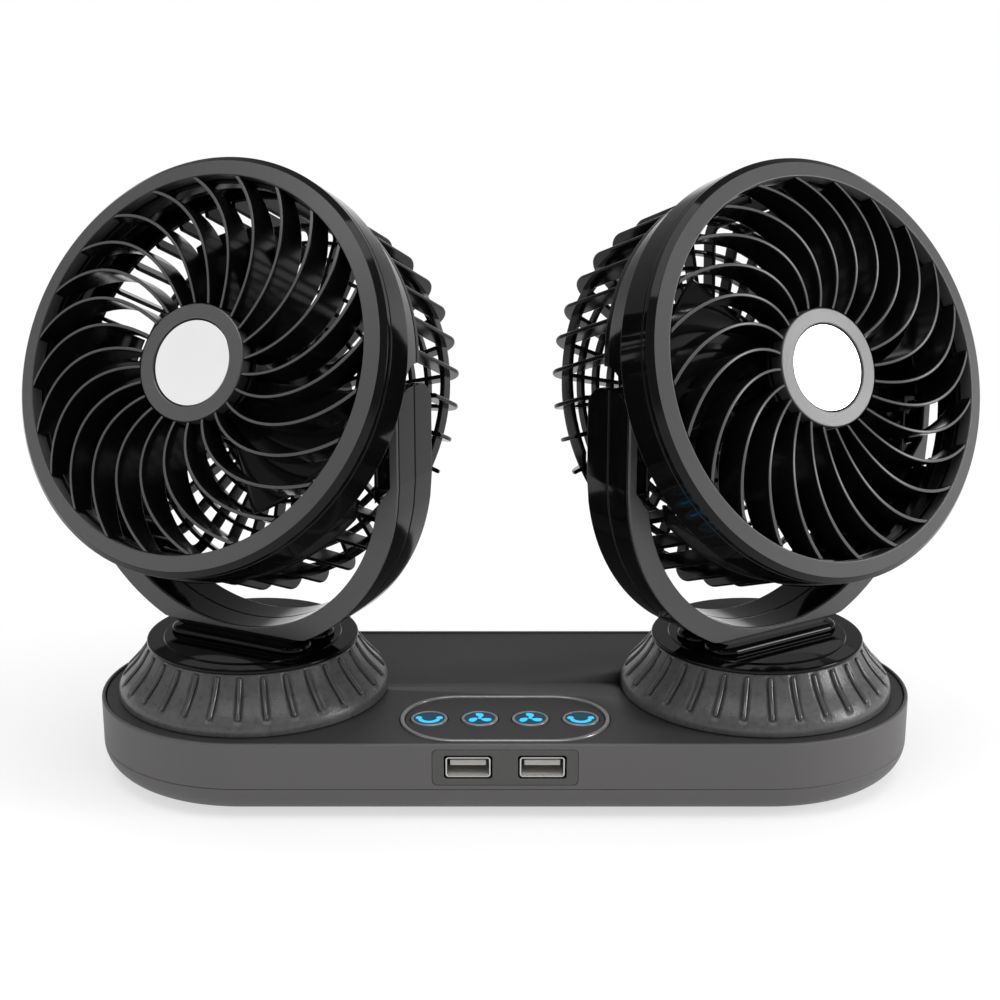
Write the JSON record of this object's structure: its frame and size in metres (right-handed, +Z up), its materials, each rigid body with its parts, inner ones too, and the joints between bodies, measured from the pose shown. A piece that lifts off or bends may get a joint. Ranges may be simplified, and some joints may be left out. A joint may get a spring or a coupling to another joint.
{
  "type": "dual head car fan",
  "caption": "Desk or dashboard car fan: round caged fan heads in tilting, swivelling yokes on one long rounded base with touch keys and USB sockets.",
  "frame": {"origin": "middle of the rubber pad's underside, on the surface that the fan stands on", "axes": "+X along the base to the viewer's right, +Y from the key side to the lead inlet, +Z up"},
  "size_m": [0.3, 0.1213, 0.194],
  "materials": {
    "base_grey": "fine matte",
    "panel_black": "glossy",
    "gloss_black": "glossy",
    "satin_grey": "satin metallic",
    "skirt_grey": "satin textured",
    "plate_grey": "matte",
    "trim_chrome": "polished",
    "badge_mirror": "mirror",
    "key_blue": "glossy, lit",
    "tongue_white": "matte",
    "board_green": "solder mask",
    "rubber_black": "matte",
    "nylon_white": "natural",
    "steel_plain": "plain"
  },
  "bodies": {
    "base": {"base_tray": "base_grey", "base_housing": "base_grey", "top_panel": "panel_black", "control_trim": "trim_chrome", "control_plate": "gloss_black", "grip_pad": "rubber_black", "circuit_board": "board_green", "usb_faceplate": "plate_grey", "usb_shell_left": "steel_plain", "usb_tongue_left": "tongue_white", "usb_shell_right": "steel_plain", "usb_tongue_right": "tongue_white", "lead_inlet": "rubber_black", "left_pedestal_skirt": "skirt_grey", "left_swing_motor": "steel_plain", "right_pedestal_skirt": "skirt_grey", "right_swing_motor": "steel_plain"},
    "swing_key_left": {"key_swing_left": "key_blue"},
    "speed_key_left": {"key_speed_left": "key_blue"},
    "speed_key_right": {"key_speed_right": "key_blue"},
    "swing_key_right": {"key_swing_right": "key_blue"},
    "left_pinion": {"left_swing_pinion": "nylon_white"},
    "left_swivel": {"left_turntable": "gloss_black", "left_swing_gear": "nylon_white", "left_yoke_front": "gloss_black", "left_yoke_rear": "gloss_black", "left_yoke_face": "satin_grey", "left_cheek_a": "gloss_black", "left_cheek_b": "gloss_black", "left_tilt_washer_a": "steel_plain", "left_tilt_washer_b": "steel_plain"},
    "left_head": {"left_shroud": "gloss_black", "left_bezel": "satin_grey", "left_front_grille": "gloss_black", "left_hub_ring": "satin_grey", "left_hub_badge": "badge_mirror", "left_rear_cage": "gloss_black", "left_fan_motor": "steel_plain"},
    "left_fan": {"left_motor_shaft": "steel_plain", "left_impeller": "gloss_black"},
    "right_pinion": {"right_swing_pinion": "nylon_white"},
    "right_swivel": {"right_turntable": "gloss_black", "right_swing_gear": "nylon_white", "right_yoke_front": "gloss_black", "right_yoke_rear": "gloss_black", "right_yoke_face": "satin_grey", "right_cheek_a": "gloss_black", "right_cheek_b": "gloss_black", "right_tilt_washer_a": "steel_plain", "right_tilt_washer_b": "steel_plain"},
    "right_head": {"right_shroud": "gloss_black", "right_bezel": "satin_grey", "right_front_grille": "gloss_black", "right_hub_ring": "satin_grey", "right_hub_badge": "badge_mirror", "right_rear_cage": "gloss_black", "right_fan_motor": "steel_plain"},
    "right_fan": {"right_motor_shaft": "steel_plain", "right_impeller": "gloss_black"}
  },
  "joints": [
    {"name": "press_swing_left", "type": "slide", "parent": "base", "child": "swing_key_left", "axis": [0, 0, -1], "range_m": [0, 0.0008], "stiffness_N_per_m": 600},
    {"name": "press_speed_left", "type": "slide", "parent": "base", "child": "speed_key_left", "axis": [0, 0, -1], "range_m": [0, 0.0008], "stiffness_N_per_m": 600},
    {"name": "press_speed_right", "type": "slide", "parent": "base", "child": "speed_key_right", "axis": [0, 0, -1], "range_m": [0, 0.0008], "stiffness_N_per_m": 600},
    {"name": "press_swing_right", "type": "slide", "parent": "base", "child": "swing_key_right", "axis": [0, 0, -1], "range_m": [0, 0.0008], "stiffness_N_per_m": 600},
    {"name": "left_swing", "type": "hinge", "parent": "base", "child": "left_swivel", "pos_m": [-0.0811, 0, 0.04], "axis": [0, 0, 1], "range_deg": [-143.21, 196.79]},
    {"name": "left_tilt", "type": "hinge", "parent": "left_swivel", "child": "left_head", "pos_m": [-0.0811, 0, 0.1247], "axis": [-0.8927, 0.4507, 0], "range_deg": [-24.32, 10.68]},
    {"name": "left_fan_spin", "type": "hinge", "parent": "left_head", "child": "left_fan", "pos_m": [-0.0811, 0, 0.1247], "axis": [-0.4107, -0.8134, 0.4118], "continuous": true},
    {"name": "left_pinion_spin", "type": "hinge", "parent": "base", "child": "left_pinion", "pos_m": [-0.0636, 0, 0.0166], "axis": [0, 0, 1], "range_deg": [-492, 358.1]},
    {"name": "right_swing", "type": "hinge", "parent": "base", "child": "right_swivel", "pos_m": [0.0811, 0, 0.04], "axis": [0, 0, 1], "range_deg": [-203.19, 136.81]},
    {"name": "right_tilt", "type": "hinge", "parent": "right_swivel", "child": "right_head", "pos_m": [0.0811, 0, 0.1247], "axis": [-0.8369, -0.5474, 0], "range_deg": [-20.59, 14.41]},
    {"name": "right_fan_spin", "type": "hinge", "parent": "right_head", "child": "right_fan", "pos_m": [0.0811, 0, 0.1247], "axis": [0.5125, -0.7834, 0.3517], "continuous": true},
    {"name": "right_pinion_spin", "type": "hinge", "parent": "base", "child": "right_pinion", "pos_m": [0.0636, 0, 0.0166], "axis": [0, 0, 1], "range_deg": [-342.1, 508]}
  ],
  "couplings": [
    {"joint": "left_pinion_spin", "follows": "left_swing", "ratio": -2.5},
    {"joint": "right_pinion_spin", "follows": "right_swing", "ratio": -2.5}
  ]
}
